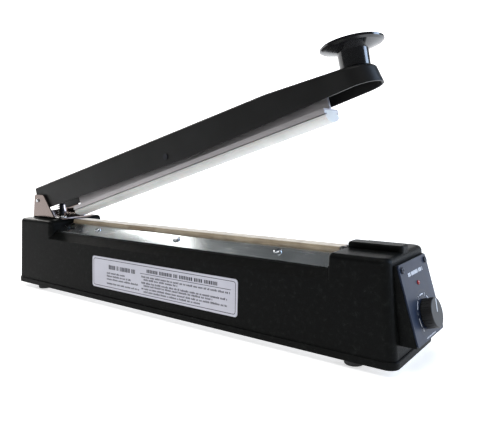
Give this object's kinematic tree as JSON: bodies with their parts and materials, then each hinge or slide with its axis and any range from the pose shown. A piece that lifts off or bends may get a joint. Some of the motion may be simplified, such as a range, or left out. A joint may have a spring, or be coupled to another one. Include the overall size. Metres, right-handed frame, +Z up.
{
  "type": "impulse heat sealer",
  "caption": "Bench-top hand impulse sealer: a sprung lever arm presses a silicone-faced bar onto a heated ribbon under PTFE cloth; a timer dial sets the pulse.",
  "frame": {"origin": "middle of the overall length and width, on the plane the feet stand on", "axes": "+X from the hinge towards the handle, +Z up, -Y is the side with the label; the arm turns about +Y and closes in the positive sense"},
  "size_m": [0.4818, 0.0798, 0.2359],
  "materials": {
    "hammered_black": "hammertone black enamel",
    "zinc_steel": "zinc plated",
    "screw_steel": "bright zinc",
    "polished_steel": "polished",
    "chrome_steel": "chrome plated",
    "spring_steel": "blackened",
    "black_rubber": "matt",
    "aluminium": "extruded",
    "silicone": "white silicone",
    "glass_tape": "woven glass",
    "nichrome": "ribbon",
    "ptfe_glass": "PTFE coated glass cloth",
    "brass": "machined",
    "bakelite": "moulded",
    "arm_black": "smooth black enamel",
    "gloss_black": "gloss",
    "nylon_black": "matt",
    "switch_red": "matt",
    "lever_steel": "stamped",
    "core_steel": "laminated",
    "bobbin_white": "nylon",
    "coil_tape": "taped winding",
    "pcb_green": "solder mask",
    "relay_blue": "moulded",
    "capacitor_black": "sleeved",
    "terminal_green": "moulded",
    "panel_blue_grey": "satin",
    "dark_screw": "blackened",
    "white_print": "printed",
    "led_red": "diffused",
    "pot_body": "stamped",
    "shaft_alu": "turned",
    "label_silver": "printed foil",
    "lead_red": "insulated",
    "lead_black": "insulated"
  },
  "bodies": {
    "base": {"bar_screws": "screw_steel", "base_plate": "zinc_steel", "base_screws": "screw_steel", "board_screws": "screw_steel", "board_standoffs": "bobbin_white", "bracket_screws": "chrome_steel", "capacitors": "capacitor_black", "clamp_posts": "bakelite", "clamp_screws": "screw_steel", "control_leads": "lead_black", "cord_gland": "black_rubber", "cover_plate_screws": "polished_steel", "dial_marks": "white_print", "element_clamps": "brass", "feet": "black_rubber", "foot_screws": "screw_steel", "front_cover_plate": "polished_steel", "front_label": "label_silver", "heating_element": "nichrome", "hinge_bracket": "chrome_steel", "hinge_pin": "chrome_steel", "housing": "hammered_black", "insulation_strip": "glass_tape", "led": "led_red", "panel_plate": "panel_blue_grey", "panel_screws": "dark_screw", "pin_washers": "chrome_steel", "pot_nut": "brass", "potentiometer": "pot_body", "power_leads": "lead_red", "ptfe_cloth": "ptfe_glass", "rear_cover_plate": "polished_steel", "relay": "relay_blue", "return_spring": "spring_steel", "sealing_bar": "aluminium", "switch_bracket": "zinc_steel", "switch_case": "nylon_black", "switch_screws": "screw_steel", "terminal_block": "terminal_green", "timer_board": "pcb_green", "transformer_bobbin": "bobbin_white", "transformer_coil": "coil_tape", "transformer_core": "core_steel", "transformer_screws": "screw_steel", "transformer_strap": "zinc_steel"},
    "arm": {"arm": "arm_black", "spring_seat": "zinc_steel", "handle_knob": "gloss_black", "handle_screw": "screw_steel", "rocking_pin": "chrome_steel", "rock_spacers": "nylon_black"},
    "bar": {"pressure_bar": "aluminium", "silicone_strip": "silicone"},
    "plunger": {"plunger": "nylon_black"},
    "knob": {"timer_knob": "gloss_black", "knob_pointer": "white_print", "pot_shaft": "shaft_alu"},
    "switch_lever": {"switch_lever": "lever_steel"},
    "switch_button": {"switch_button": "switch_red"}
  },
  "joints": [
    {"name": "arm_hinge", "type": "hinge", "parent": "base", "child": "arm", "pos_m": [-0.22002, 0, 0.09985], "axis": [0, 1, 0], "range_deg": [0, 12.91], "stiffness_Nm_per_rad": 2.8, "springref_deg": -34.38},
    {"name": "bar_rock", "type": "hinge", "parent": "arm", "child": "bar", "pos_m": [-0.00794, 0, 0.14975], "axis": [0, 1, 0], "range_deg": [0, 2.9]},
    {"name": "plunger_slide", "type": "slide", "parent": "base", "child": "plunger", "axis": [0, 0, 1], "range_m": [-0.00346, 0], "deforming": ["return_spring"]},
    {"name": "switch_lever_turn", "type": "hinge", "parent": "base", "child": "switch_lever", "pos_m": [-0.22222, 0, 0.062], "axis": [0, 1, 0], "range_deg": [0, 10.57]},
    {"name": "switch_button_slide", "type": "slide", "parent": "base", "child": "switch_button", "axis": [0, 0, 1], "range_m": [-0.00114, 0]},
    {"name": "timer_knob_turn", "type": "hinge", "parent": "base", "child": "knob", "pos_m": [0.2289, 0, 0.03642], "axis": [0.9625, 0, 0.2713], "range_deg": [-112, 148]}
  ],
  "couplings": [
    {"joint": "bar_rock", "follows": "arm_hinge", "ratio": 0.22373},
    {"joint": "plunger_slide", "follows": "arm_hinge", "m_per_rad": -0.015292},
    {"joint": "switch_lever_turn", "follows": "arm_hinge", "ratio": 0.81703},
    {"joint": "switch_button_slide", "follows": "arm_hinge", "m_per_rad": -0.0049958}
  ]
}
